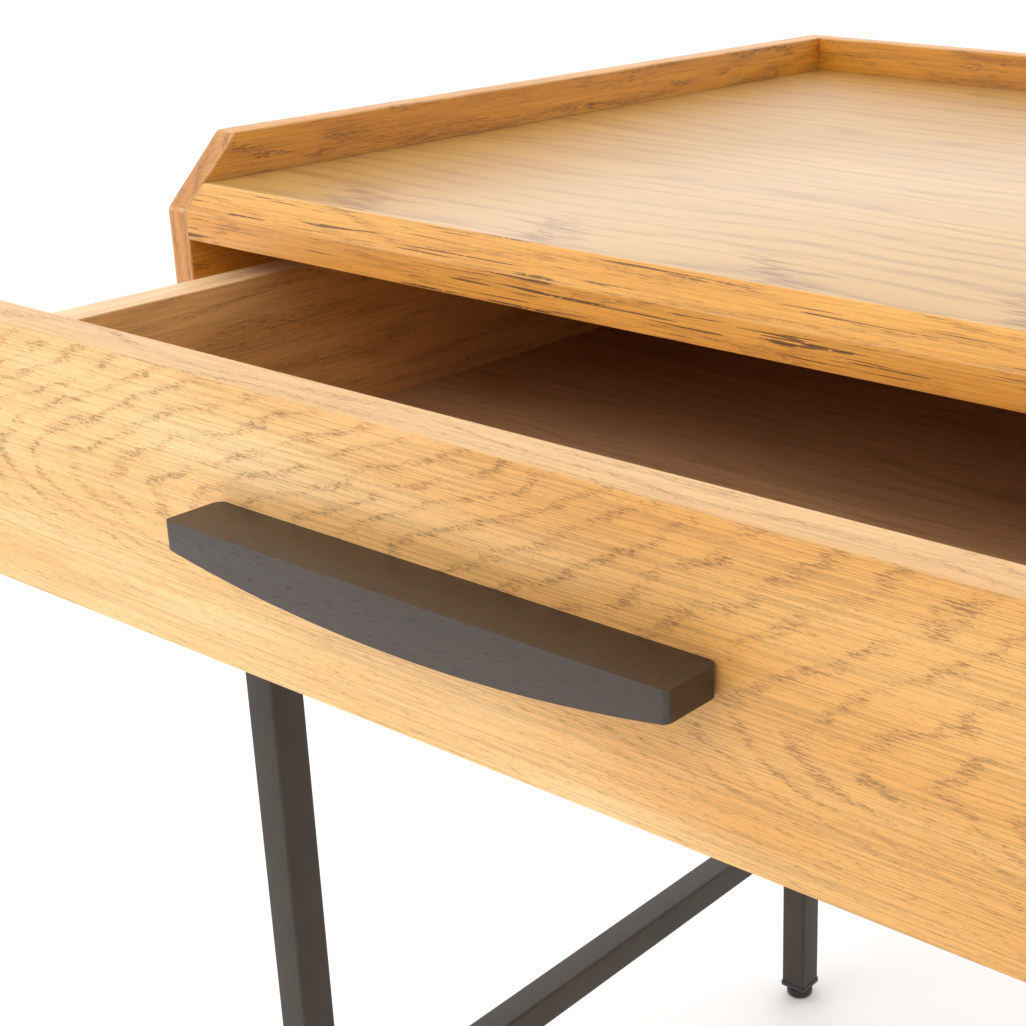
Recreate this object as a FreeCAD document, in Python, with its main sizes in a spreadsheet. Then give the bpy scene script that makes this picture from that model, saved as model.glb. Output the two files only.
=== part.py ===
import FreeCAD, Part
import os
import Sketcher

# Side table with one drawer: an oak-veneered case with a raised gallery on three sides, a drawer on
# ball-bearing runners with a boat-shaped pull, and a welded frame of black square tube on levelling feet.
#
# Frame: +Z up, floor at Z = 0, X to the right, -Y to the front. X = 0 is the middle of the width. Y = 0 is the
# middle of the overall depth with the drawer standing part open, which is how the table is stored.

V = FreeCAD.Vector
doc = FreeCAD.newDocument("side_table")

# ---------------------------------------------------------------- driving dimensions, millimetres
DIM = [
    # the case
    ("case_width", 476.0), ("case_depth", 404.0), ("case_top", 573.6), ("case_base", 435.7),
    ("side_thick", 10.0), ("back_thick", 10.0), ("base_thick", 12.0),
    ("gallery_slope", 24.6), ("top_surface", 557.7), ("top_thick", 19.0), ("top_bevel", 8.7),
    ("case_front", -141.4), ("board_arris", 0.6),
    # the drawer
    ("drawer_open", 102.2), ("front_width", 453.0), ("front_high", 88.1), ("front_thick", 16.6),
    ("front_base", 449.2), ("front_arris", 1.0),
    ("box_side_thick", 14.2), ("box_side_long", 350.0), ("box_side_base", 455.0), ("box_side_top", 527.9),
    ("box_back_thick", 12.0), ("box_floor_thick", 5.0), ("box_floor_base", 465.0), ("groove_deep", 6.0),
    ("groove_play", 0.05),
    # the pull
    ("pull_long", 175.6), ("pull_deep", 19.0), ("pull_end_high", 8.3), ("pull_mid_high", 15.9),
    ("pull_top", 501.9), ("pull_soft", 1.2), ("pull_screw_half_pitch", 64.0), ("pull_screw_drop", 6.2),
    # dowels
    ("dowel_rad", 3.0), ("dowel_hole_rad", 3.02), ("dowel_long", 26.0), ("dowel_in_panel", 7.2),
    ("dowel_in_front", 9.2), ("dowel_in_end", 19.5), ("dowel_in_box", 17.5), ("dowel_in_box_side", 8.7),
    # runners
    ("gap_runner", 12.7), ("runner_long", 350.0), ("runner_start", 18.6), ("runner_level", 490.0),
    ("runner_high", 35.0), ("runner_gauge", 1.2), ("cabinet_lip", 9.5),
    ("middle_from", 2.6), ("middle_to", 10.9), ("middle_high", 25.2),
    ("inner_from", 5.2), ("inner_high", 15.4),
    ("cage_long", 110.0), ("cage_gauge", 0.6), ("cage_flange", 0.8),
    ("cage_out_from", 1.6), ("cage_out_to", 8.2), ("cage_out_high", 29.7),
    ("cage_in_from", 4.2), ("cage_in_to", 10.4), ("cage_in_high", 19.9),
    ("ball_rad", 1.7), ("ball_pocket_rad", 1.85), ("ball_pitch", 18.0),
    ("ball_out_across", 6.0), ("ball_out_level", 14.45), ("ball_in_across", 8.0), ("ball_in_level", 9.55),
    ("runner_screw_rad", 1.75), ("runner_head_rad", 3.3), ("runner_head_high", 1.1), ("runner_hole_rad", 3.4),
    ("runner_screw_bite", 8.4), ("runner_screw_bite_box", 11.5),
    # the frame
    ("tube_side", 16.0), ("tube_wall", 1.5), ("tube_round", 1.6), ("leg_in_x", 10.6), ("leg_in_y", 17.3),
    ("leg_foot", 9.5), ("stretcher_level", 124.0),
    ("rail_screw_rad", 2.0), ("rail_hole_rad", 2.3), ("rail_head_rad", 4.0), ("rail_head_high", 2.4),
    ("rail_screw_bite", 9.0), ("rail_screw_pitch", 80.0),
    # feet
    ("plug_side", 12.96), ("plug_long", 22.0), ("plug_flange_side", 17.2), ("plug_flange_high", 3.2),
    ("plug_bore_rad", 3.05), ("plug_soft", 1.0),
    ("stud_rad", 3.0), ("stud_long", 25.0), ("glide_rad", 7.85), ("glide_high", 6.1), ("glide_socket", 2.5),
    # pull screws and drawer-floor screws
    ("pull_screw_rad", 2.0), ("pull_hole_rad", 2.25), ("pull_screw_bite", 11.0), ("pull_head_rad", 4.0),
    ("pull_head_high", 2.5),
    ("floor_screw_rad", 1.5), ("floor_head_rad", 3.0), ("floor_head_high", 1.8), ("floor_screw_bite", 14.0),
]
sheet = doc.addObject("Spreadsheet::Sheet", "Dims")
for row, (name, value) in enumerate(DIM, 1):
    sheet.set("A%d" % row, name.replace("_", " "))
    sheet.set("B%d" % row, str(value))
    sheet.setAlias("B%d" % row, name)
doc.recompute()
VALUE = dict(DIM)


class Q:
    """A length and the sheet formula that it comes from."""

    def __init__(self, v, t):
        self.v, self.t = float(v), t

    @staticmethod
    def of(o):
        return o if isinstance(o, Q) else Q(o, "(%r)" % float(o))

    def __add__(self, o):
        o = Q.of(o)
        return Q(self.v + o.v, "(%s + %s)" % (self.t, o.t))

    __radd__ = __add__

    def __sub__(self, o):
        o = Q.of(o)
        return Q(self.v - o.v, "(%s - %s)" % (self.t, o.t))

    def __rsub__(self, o):
        return Q.of(o) - self

    def __mul__(self, o):
        o = Q.of(o)
        return Q(self.v * o.v, "(%s * %s)" % (self.t, o.t))

    __rmul__ = __mul__

    def __truediv__(self, o):
        o = Q.of(o)
        return Q(self.v / o.v, "(%s / %s)" % (self.t, o.t))

    def __neg__(self):
        return Q(-self.v, "(0 - %s)" % self.t)


def d(name):
    return Q(VALUE[name], "Dims." + name)


ZERO = Q.of(0.0)
parts = {}


# ---------------------------------------------------------------- helpers
def place(o, x, y, z, rot=None):
    o.Placement = FreeCAD.Placement(V(Q.of(x).v, Q.of(y).v, Q.of(z).v), rot or FreeCAD.Rotation())
    for axis, q in (("x", x), ("y", y), ("z", z)):
        o.setExpression("Placement.Base." + axis, Q.of(q).t)
    return o


def body(label):
    b = doc.addObject("PartDesign::Body", label)
    b.Label = label
    parts[label] = b
    return b


def sketch(b, role, off=None):
    sk = b.newObject("Sketcher::SketchObject", b.Name + "_sk")
    base = [o for o in b.Origin.OriginFeatures if o.Role == role][0]
    sk.AttachmentSupport = [(base, "")]
    sk.MapMode = "FlatFace"
    if off is not None:
        sk.AttachmentOffset = FreeCAD.Placement(V(0, 0, off.v), FreeCAD.Rotation())
        sk.setExpression("AttachmentOffset.Base.z", off.t)
    return sk


def pin(sk, geo, pos, x, y):
    x, y = Q.of(x), Q.of(y)
    for kind, q in (("DistanceX", x), ("DistanceY", y)):
        i = sk.addConstraint(Sketcher.Constraint(kind, -1, 1, geo, pos, q.v))
        tag = "c%d" % i
        sk.renameConstraint(i, tag)
        sk.setExpression("Constraints." + tag, q.t)


def polygon(sk, pts):
    pts = [(Q.of(x), Q.of(y)) for x, y in pts]
    first = sk.GeometryCount
    n = len(pts)
    for i in range(n):
        a, c = pts[i], pts[(i + 1) % n]
        sk.addGeometry(Part.LineSegment(V(a[0].v, a[1].v, 0), V(c[0].v, c[1].v, 0)), False)
    for i in range(n):
        sk.addConstraint(Sketcher.Constraint("Coincident", first + i, 2, first + (i + 1) % n, 1))
    for i in range(n):
        pin(sk, first + i, 1, *pts[i])


def rect(sk, x0, y0, x1, y1):
    polygon(sk, [(x0, y0), (x1, y0), (x1, y1), (x0, y1)])


def circle(sk, x, y, r):
    x, y, r = Q.of(x), Q.of(y), Q.of(r)
    g = sk.addGeometry(Part.Circle(V(x.v, y.v, 0), V(0, 0, 1), r.v), False)
    pin(sk, g, 3, x, y)
    i = sk.addConstraint(Sketcher.Constraint("Radius", g, r.v))
    sk.renameConstraint(i, "r%d" % i)
    sk.setExpression("Constraints.r%d" % i, r.t)


def pad(b, sk, length, back=False):
    f = b.newObject("PartDesign::Pad", b.Name + "_pad")
    f.Profile = sk
    f.Length = Q.of(length).v
    f.setExpression("Length", Q.of(length).t)
    f.Reversed = back
    sk.Visibility = False
    doc.recompute()
    return f


def cut(b, sk, depth=None, along=True):
    """Removes material. along = True cuts the way the sketch's normal points. No depth cuts through."""
    before = b.Shape.Volume
    f = b.newObject("PartDesign::Pocket", b.Name + "_cut")
    f.Profile = sk
    if depth is None:
        f.Type = 1
    else:
        f.Length = Q.of(depth).v
        f.setExpression("Length", Q.of(depth).t)
    f.Reversed = bool(along)
    doc.recompute()
    if not b.Shape.Volume < before - 1e-3:
        raise RuntimeError("pocket removed nothing in " + b.Label)
    return f


def soften(b, radius, test, kind="PartDesign::Fillet"):
    """Rounds or bevels the edges of the body's tip for which test(edge) is true."""
    tip = b.Tip
    names = ["Edge%d" % (i + 1) for i, e in enumerate(tip.Shape.Edges) if test(e)]
    if not names:
        raise RuntimeError("no edge to soften on " + b.Label)
    f = b.newObject(kind, b.Name + "_soft")
    f.Base = (tip, names)
    prop = "Radius" if kind.endswith("Fillet") else "Size"
    setattr(f, prop, radius.v)
    f.setExpression(prop, radius.t)
    doc.recompute()
    return f


def straight(e):
    return e.Curve.TypeId == "Part::GeomLine"


def runs(e, axis):
    """The edge is straight and runs along x, y or z."""
    if not straight(e):
        return False
    t = e.tangentAt(e.FirstParameter)
    return abs(getattr(t, axis)) > 0.999


def at(e, **where):
    """Every vertex of the edge lies at the given coordinates."""
    return all(abs(getattr(p.Point, k) - v) < 1e-3 for p in e.Vertexes for k, v in where.items())


TO = {
    "+x": FreeCAD.Rotation(V(0, 1, 0), 90), "-x": FreeCAD.Rotation(V(0, 1, 0), -90),
    "+y": FreeCAD.Rotation(V(1, 0, 0), -90), "-y": FreeCAD.Rotation(V(1, 0, 0), 90),
    "+z": FreeCAD.Rotation(), "-z": FreeCAD.Rotation(V(1, 0, 0), 180),
}
STEP = {"+x": (1, 0, 0), "-x": (-1, 0, 0), "+y": (0, 1, 0), "-y": (0, -1, 0), "+z": (0, 0, 1), "-z": (0, 0, -1)}


def rod(name, x, y, z, way, radius, length):
    c = doc.addObject("Part::Cylinder", name)
    c.Radius, c.Height = Q.of(radius).v, Q.of(length).v
    c.setExpression("Radius", Q.of(radius).t)
    c.setExpression("Height", Q.of(length).t)
    return place(c, x, y, z, TO[way])


def group(label, members):
    c = doc.addObject("Part::Compound", label)
    c.Label = label
    c.Links = members
    parts[label] = c
    return c


def dowels(label, places):
    """places: the dowel's first end (x, y, z) and the way it points."""
    return group(label, [rod("%s_%d" % (label, i), x, y, z, way, d("dowel_rad"), d("dowel_long"))
                         for i, (x, y, z, way) in enumerate(places, 1)])


def screws(label, places, shank_rad, shank_long, head_rad, head_high):
    """places: the seat of the head (x, y, z) and the way the shank points."""
    out = []
    for i, (x, y, z, way) in enumerate(places, 1):
        sx, sy, sz = STEP[way]
        shank = rod("%s_shank%d" % (label, i), x, y, z, way, shank_rad, shank_long)
        head = rod("%s_head%d" % (label, i), x - sx * head_high, y - sy * head_high, z - sz * head_high, way,
                   head_rad, head_high)
        one = doc.addObject("Part::Fuse", "%s_%d" % (label, i))
        one.Base, one.Tool = head, shank
        out.append(one)
    return group(label, out)


# ---------------------------------------------------------------- shared levels
half = d("case_width") / 2
inner = half - d("side_thick")                      # inner face of a side panel, from the middle
front = d("case_front")                             # the case's front plane
rear = front + d("case_depth")
back_in = rear - d("back_thick")                    # inner face of the back panel
case_high = d("case_top") - d("case_base")
top_under = d("top_surface") - d("top_thick")
clear_deep = d("case_depth") - d("back_thick")      # depth inside the case
base_top = d("case_base") + d("base_thick")

top_mid = d("top_thick") / 2 - 1.5                  # dowel line in the top board, above its underside
base_mid = d("base_thick") / 2
SIDE_DOWEL_Y = [45.0, 150.0, 255.0, 360.0]          # from the case's front plane
BACK_DOWEL_X = [-160.0, 0.0, 160.0]
RAIL_SCREW_X = [-1.5, -0.5, 0.5, 1.5]             # times the pitch: clear of the back dowels
CAB_SCREW_Y = [35.0, 175.0, 315.0]                  # along the cabinet member
BOX_SCREW_Y = [60.0, 290.0]                         # along the drawer member

# ---------------------------------------------------------------- the case
# Top board: flat, with a 45 degree bevel along the top of its front edge.
b = body("tabletop")
sk = sketch(b, "YZ_Plane")
polygon(sk, [(0, 0), (clear_deep, 0), (clear_deep, d("top_thick")), (d("top_bevel"), d("top_thick")),
             (0, d("top_thick") - d("top_bevel"))])
pad(b, sk, inner * 2)
sk = sketch(b, "YZ_Plane")
for y in SIDE_DOWEL_Y:
    circle(sk, y, top_mid, d("dowel_hole_rad"))
cut(b, sk, d("dowel_in_end"))
sk = sketch(b, "YZ_Plane", inner * 2)
for y in SIDE_DOWEL_Y:
    circle(sk, y, top_mid, d("dowel_hole_rad"))
cut(b, sk, d("dowel_in_end"), along=False)
sk = sketch(b, "XZ_Plane", -clear_deep)
for x in BACK_DOWEL_X:
    circle(sk, inner + x, top_mid, d("dowel_hole_rad"))
cut(b, sk, d("dowel_in_end"))
place(b, -inner, front, top_under)

# Bottom board.
b = body("bottom_panel")
sk = sketch(b, "XY_Plane")
rect(sk, 0, 0, inner * 2, clear_deep)
pad(b, sk, d("base_thick"))
sk = sketch(b, "YZ_Plane")
for y in SIDE_DOWEL_Y:
    circle(sk, y, base_mid, d("dowel_hole_rad"))
cut(b, sk, d("dowel_in_end"))
sk = sketch(b, "YZ_Plane", inner * 2)
for y in SIDE_DOWEL_Y:
    circle(sk, y, base_mid, d("dowel_hole_rad"))
cut(b, sk, d("dowel_in_end"), along=False)
sk = sketch(b, "XZ_Plane", -clear_deep)
for x in BACK_DOWEL_X:
    circle(sk, inner + x, base_mid, d("dowel_hole_rad"))
cut(b, sk, d("dowel_in_end"))
sk = sketch(b, "XY_Plane")
for y in (d("leg_in_y"), d("case_depth") - d("leg_in_y")):
    for i in RAIL_SCREW_X:
        circle(sk, inner + d("rail_screw_pitch") * i, y, d("rail_screw_rad"))
cut(b, sk, d("rail_screw_bite"))
place(b, -inner, front, d("case_base"))

# Side panels: they rise past the top board as the gallery, and the front upper corner is cut off at 45 degrees.
for name, sgn in (("side_panel_left", -1), ("side_panel_right", 1)):
    b = body(name)
    sk = sketch(b, "YZ_Plane")
    polygon(sk, [(0, 0), (d("case_depth"), 0), (d("case_depth"), case_high), (d("gallery_slope"), case_high),
                 (0, case_high - d("gallery_slope"))])
    pad(b, sk, d("side_thick"))
    # dowel holes and runner screw holes from the inner face
    sk = sketch(b, "YZ_Plane", d("side_thick") if sgn < 0 else None)
    for y in SIDE_DOWEL_Y:
        circle(sk, y, top_under + top_mid - d("case_base"), d("dowel_hole_rad"))
        circle(sk, y, base_mid, d("dowel_hole_rad"))
    cut(b, sk, d("dowel_in_panel"), along=sgn > 0)
    sk = sketch(b, "YZ_Plane", d("side_thick") if sgn < 0 else None)
    for y in CAB_SCREW_Y:
        circle(sk, d("runner_start") + y, d("runner_level") - d("case_base"), d("runner_screw_rad"))
    cut(b, sk, d("runner_screw_bite"), along=sgn > 0)
    place(b, -half if sgn < 0 else inner, front, d("case_base"))

# Back panel, between the sides and as high as the gallery.
b = body("back_panel")
sk = sketch(b, "XZ_Plane")
rect(sk, 0, 0, inner * 2, case_high)
pad(b, sk, d("back_thick"), back=True)
sk = sketch(b, "XZ_Plane")
for x in BACK_DOWEL_X:
    circle(sk, inner + x, top_under + top_mid - d("case_base"), d("dowel_hole_rad"))
    circle(sk, inner + x, base_mid, d("dowel_hole_rad"))
cut(b, sk, d("dowel_in_panel"), along=False)
place(b, -inner, back_in, d("case_base"))

where = []
for level in (top_under + top_mid, d("case_base") + base_mid):
    for y in SIDE_DOWEL_Y:
        where.append((-inner - d("dowel_in_panel") + 0.2, front + y, level, "+x"))
        where.append((inner + d("dowel_in_panel") - 0.2, front + y, level, "-x"))
    for x in BACK_DOWEL_X:
        where.append((ZERO + x, back_in + d("dowel_in_panel") - 0.2, level, "-y"))
dowels("case_dowels", where)

# ---------------------------------------------------------------- the drawer
face = front - d("drawer_open")                     # the drawer front's face, standing part open
box_y = face + d("front_thick")                     # back of the drawer front
box_out = inner - d("gap_runner")                   # outer face of a drawer side
box_in = box_out - d("box_side_thick")              # inner face of a drawer side
box_high = d("box_side_top") - d("box_side_base")
floor_top = d("box_floor_base") + d("box_floor_thick")
FRONT_DOWEL_Z = [18.0, 41.0, 60.0]                  # above the drawer side's lower edge
BACK_DOWEL_Z = [28.0, 55.0]

b = body("drawer_front")
sk = sketch(b, "XZ_Plane")
rect(sk, 0, 0, d("front_width"), d("front_high"))
pad(b, sk, d("front_thick"), back=True)
soften(b, d("front_arris"), lambda e: at(e, y=0.0))
half_front = d("front_width") / 2
sk = sketch(b, "XZ_Plane", -d("front_thick"))
rise = d("box_side_base") - d("front_base")
mid_side = box_in + d("box_side_thick") / 2
for sgn in (-1, 1):
    for z in FRONT_DOWEL_Z:
        circle(sk, half_front + mid_side * sgn, rise + z, d("dowel_hole_rad"))
cut(b, sk, d("dowel_in_front"))
sk = sketch(b, "XZ_Plane", -d("front_thick"))
low = d("box_floor_base") - d("front_base") - d("groove_play")
rect(sk, half_front - box_in - d("groove_deep"), low, half_front + box_in + d("groove_deep"),
     low + d("box_floor_thick") + d("groove_play") * 2)
cut(b, sk, d("groove_deep"))
sk = sketch(b, "XZ_Plane", -d("front_thick"))
pull_level = d("pull_top") - d("pull_screw_drop")
for sgn in (-1, 1):
    circle(sk, half_front + d("pull_screw_half_pitch") * sgn, pull_level - d("front_base"), d("pull_hole_rad"))
cut(b, sk)
place(b, -half_front, face, d("front_base"))

for name, sgn in (("drawer_side_left", -1), ("drawer_side_right", 1)):
    b = body(name)
    sk = sketch(b, "YZ_Plane")
    rect(sk, 0, 0, d("box_side_long"), box_high)
    pad(b, sk, d("box_side_thick"))
    soften(b, d("board_arris"), lambda e: runs(e, "y") and at(e, z=box_high.v))
    # groove for the drawer floor, in the inner face
    sk = sketch(b, "YZ_Plane", d("box_side_thick") if sgn < 0 else None)
    g0 = d("box_floor_base") - d("box_side_base") - d("groove_play")
    rect(sk, -1, g0, d("box_side_long") + 1, g0 + d("box_floor_thick") + d("groove_play") * 2)
    cut(b, sk, d("groove_deep"), along=sgn > 0)
    # dowels into the front, and through the inner face into the back
    sk = sketch(b, "XZ_Plane")
    for z in FRONT_DOWEL_Z:
        circle(sk, d("box_side_thick") / 2, z, d("dowel_hole_rad"))
    cut(b, sk, d("dowel_in_box"), along=False)
    sk = sketch(b, "YZ_Plane", d("box_side_thick") if sgn < 0 else None)
    for z in BACK_DOWEL_Z:
        circle(sk, d("box_side_long") - d("box_back_thick") / 2, z, d("dowel_hole_rad"))
    cut(b, sk, d("dowel_in_box_side"), along=sgn > 0)
    # runner screws from the outer face
    sk = sketch(b, "YZ_Plane", None if sgn < 0 else d("box_side_thick"))
    for y in BOX_SCREW_Y:
        circle(sk, d("runner_start") - d("front_thick") + y, d("runner_level") - d("box_side_base"),
               d("runner_screw_rad"))
    cut(b, sk, d("runner_screw_bite_box"), along=sgn < 0)
    place(b, -box_out if sgn < 0 else box_in, box_y, d("box_side_base"))

b = body("drawer_back")
back_base = floor_top + d("groove_play")
sk = sketch(b, "XZ_Plane")
rect(sk, 0, 0, box_in * 2, d("box_side_top") - back_base)
pad(b, sk, d("box_back_thick"), back=True)
soften(b, d("board_arris"), lambda e: runs(e, "x") and at(e, z=(d("box_side_top") - back_base).v))
for off, way in ((None, True), (box_in * 2, False)):
    sk = sketch(b, "YZ_Plane", off)
    for z in BACK_DOWEL_Z:
        circle(sk, d("box_back_thick") / 2, d("box_side_base") + z - back_base, d("dowel_hole_rad"))
    cut(b, sk, d("dowel_in_box"), along=way)
sk = sketch(b, "XY_Plane")
FLOOR_SCREW_X = [-130.0, 0.0, 130.0]
for x in FLOOR_SCREW_X:
    circle(sk, box_in + x, d("box_back_thick") / 2, d("floor_screw_rad"))
cut(b, sk, d("floor_screw_bite"))
place(b, -box_in, box_y + d("box_side_long") - d("box_back_thick"), back_base)

b = body("drawer_bottom")
over = d("groove_deep") - 0.5
floor_long = d("box_side_long") + over
sk = sketch(b, "XY_Plane")
rect(sk, 0, 0, (box_in + over) * 2, floor_long)
pad(b, sk, d("box_floor_thick"))
sk = sketch(b, "XY_Plane")
for x in FLOOR_SCREW_X:
    circle(sk, box_in + over + x, floor_long - d("box_back_thick") / 2, d("floor_screw_rad") + 0.1)
cut(b, sk)
place(b, -box_in - over, box_y - over, d("box_floor_base"))

where = []
for sgn, way in ((-1, "+x"), (1, "-x")):
    for z in FRONT_DOWEL_Z:
        where.append((mid_side * sgn, box_y - d("dowel_in_front") + 0.2, d("box_side_base") + z, "+y"))
    for z in BACK_DOWEL_Z:
        where.append(((box_in + d("dowel_in_box_side") - 0.2) * sgn,
                      box_y + d("box_side_long") - d("box_back_thick") / 2, d("box_side_base") + z, way))
dowels("drawer_dowels", where)

screws("drawer_bottom_screws",
       [(ZERO + x, box_y + d("box_side_long") - d("box_back_thick") / 2, d("box_floor_base"), "+z")
        for x in FLOOR_SCREW_X],
       d("floor_screw_rad"), d("box_floor_thick") + d("groove_play") + d("floor_screw_bite") - 0.4,
       d("floor_head_rad"), d("floor_head_high"))

# The pull: a solid bar with a level top, a bowed underside and softened edges, flat against the drawer front.
b = body("pull_handle")
hl = d("pull_long") / 2
sag = d("pull_mid_high") - d("pull_end_high")
sk = sketch(b, "XZ_Plane")
ends = [(-hl, -d("pull_end_high")), (-hl, ZERO), (hl, ZERO), (hl, -d("pull_end_high"))]
for i in range(3):
    a, c = ends[i], ends[i + 1]
    sk.addGeometry(Part.LineSegment(V(a[0].v, a[1].v, 0), V(c[0].v, c[1].v, 0)), False)
sk.addGeometry(Part.Arc(V(-hl.v, -d("pull_end_high").v, 0), V(0, -d("pull_mid_high").v, 0),
                        V(hl.v, -d("pull_end_high").v, 0)), False)
arc = sk.Geometry[3]
first_is_left = arc.StartPoint.x < 0
for i in range(2):
    sk.addConstraint(Sketcher.Constraint("Coincident", i, 2, i + 1, 1))
sk.addConstraint(Sketcher.Constraint("Coincident", 2, 2, 3, 2 if first_is_left else 1))
sk.addConstraint(Sketcher.Constraint("Coincident", 3, 1 if first_is_left else 2, 0, 1))
for i in range(3):
    pin(sk, i, 1, *ends[i])
pin(sk, 2, 2, *ends[3])
bow = (hl * hl + sag * sag) / (sag * 2)
i = sk.addConstraint(Sketcher.Constraint("Radius", 3, bow.v))
sk.renameConstraint(i, "bow")
sk.setExpression("Constraints.bow", bow.t)
pad(b, sk, d("pull_deep"))
soften(b, d("pull_soft"), lambda e: not at(e, y=0.0))
sk = sketch(b, "XZ_Plane")
for sgn in (-1, 1):
    circle(sk, d("pull_screw_half_pitch") * sgn, -d("pull_screw_drop"), d("pull_screw_rad"))
cut(b, sk, d("pull_screw_bite"), along=True)
place(b, 0, face, d("pull_top"))

screws("pull_screws",
       [(d("pull_screw_half_pitch") * sgn, box_y, pull_level, "-y") for sgn in (-1, 1)],
       d("pull_screw_rad"), d("front_thick") + d("pull_screw_bite") - 0.5, d("pull_head_rad"), d("pull_head_high"))

# ---------------------------------------------------------------- runners
# Cross sections are drawn from the side panel's inner face (across = 0) towards the drawer, about the runner's
# level. The three members are channels nested in one another, with two rows of balls between each pair.
run_y = front + d("runner_start")
hole_rows = [(-2.5 + k) for k in range(6)]


def channel(label, sgn, web, lip, high, gauge, length, y):
    """A channel whose web stands at `web` and whose two flanges reach to `lip`, both measured across."""
    b = body(label)
    hh = high / 2
    inside = web + gauge if lip.v > web.v else web - gauge
    sk = sketch(b, "XZ_Plane")
    pts = [(web, -hh), (lip, -hh), (lip, gauge - hh), (inside, gauge - hh), (inside, hh - gauge), (lip, hh - gauge),
           (lip, hh), (web, hh)]
    polygon(sk, [(p[0] * sgn, p[1]) for p in pts])
    pad(b, sk, length, back=True)
    place(b, inner * -sgn, y, d("runner_level"))
    return b


for side, sgn in (("left", 1), ("right", -1)):
    g = d("runner_gauge")
    b = channel("runner_cabinet_" + side, sgn, ZERO, d("cabinet_lip"), d("runner_high"), g, d("runner_long"), run_y)
    sk = sketch(b, "YZ_Plane")
    for y in CAB_SCREW_Y:
        circle(sk, y, 0, d("runner_hole_rad"))
    cut(b, sk, g + 0.5, along=sgn > 0)

    channel("runner_middle_" + side, sgn, d("middle_from"), d("middle_to"), d("middle_high"), g, d("runner_long"),
            run_y - d("drawer_open") / 2)

    b = channel("runner_drawer_" + side, sgn, d("gap_runner"), d("inner_from"), d("inner_high"), g,
                d("runner_long"), run_y - d("drawer_open"))
    sk = sketch(b, "YZ_Plane", d("gap_runner") * sgn)
    for y in BOX_SCREW_Y:
        circle(sk, y, 0, d("runner_hole_rad"))
    cut(b, sk, g + 0.5, along=sgn < 0)

    for tag, share in (("out", 0.25), ("in", 0.75)):
        long_name = {"out": "outer", "in": "inner"}[tag]
        start = run_y + (d("runner_long") - d("cage_long")) / 2 - d("drawer_open") * share
        label = "ball_cage_%s_%s" % (long_name, side)
        b = body(label)
        hh = d("cage_%s_high" % tag) / 2
        w0, w1 = d("cage_%s_from" % tag), d("cage_%s_to" % tag)
        plate, flange = d("cage_gauge"), d("cage_flange")
        sk = sketch(b, "XZ_Plane")
        pts = [(w0, -hh), (w1, -hh), (w1, flange - hh), (w0 + plate, flange - hh), (w0 + plate, hh - flange),
               (w1, hh - flange), (w1, hh), (w0, hh)]
        polygon(sk, [(p[0] * sgn, p[1]) for p in pts])
        pad(b, sk, d("cage_long"), back=True)
        sk = sketch(b, "XY_Plane", -hh - 1)
        for k in hole_rows:
            circle(sk, d("ball_%s_across" % tag) * sgn, d("cage_long") / 2 + d("ball_pitch") * k,
                   d("ball_pocket_rad"))
        cut(b, sk)
        place(b, inner * -sgn, start, d("runner_level"))
        balls = []
        for k in hole_rows:
            for up in (-1, 1):
                s = doc.addObject("Part::Sphere", "ball")
                s.Radius = VALUE["ball_rad"]
                s.setExpression("Radius", "Dims.ball_rad")
                place(s, inner * -sgn + d("ball_%s_across" % tag) * sgn,
                      start + d("cage_long") / 2 + d("ball_pitch") * k,
                      d("runner_level") + d("ball_%s_level" % tag) * up)
                balls.append(s)
        group("bearing_balls_%s_%s" % (long_name, side), balls)

screws("runner_screws_cabinet",
       [(inner * sgn, run_y + y, d("runner_level"), "+x" if sgn > 0 else "-x")
        for sgn in (-1, 1) for y in CAB_SCREW_Y],
       d("runner_screw_rad"), d("runner_screw_bite") - 0.2, d("runner_head_rad"), d("runner_head_high"))
screws("runner_screws_drawer",
       [(box_out * sgn, run_y - d("drawer_open") + y, d("runner_level"), "-x" if sgn > 0 else "+x")
        for sgn in (-1, 1) for y in BOX_SCREW_Y],
       d("runner_screw_rad"), d("runner_screw_bite_box") - 0.2, d("runner_head_rad"), d("runner_head_high"))

# ---------------------------------------------------------------- the frame of square tube
tube, wall = d("tube_side"), d("tube_wall")
leg_x = half - d("leg_in_x")
leg_front = front + d("leg_in_y")
leg_rear = rear - d("leg_in_y")


def tube_body(label, role, along, length, back):
    b = body(label)
    sk = sketch(b, role)
    rect(sk, -tube / 2, -tube / 2, tube / 2, tube / 2)
    pad(b, sk, length, back=back)
    soften(b, d("tube_round"), lambda e: runs(e, along))
    sk = sketch(b, role)
    h = tube / 2 - wall
    rect(sk, -h, -h, h, h)
    cut(b, sk, None, along=not back)
    return b


for fb, y in (("front", leg_front), ("rear", leg_rear)):
    for lr, sgn in (("left", -1), ("right", 1)):
        b = tube_body("leg_%s_%s" % (fb, lr), "XY_Plane", "z", d("case_base") - d("leg_foot"), False)
        place(b, leg_x * sgn, y, d("leg_foot"))

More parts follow.
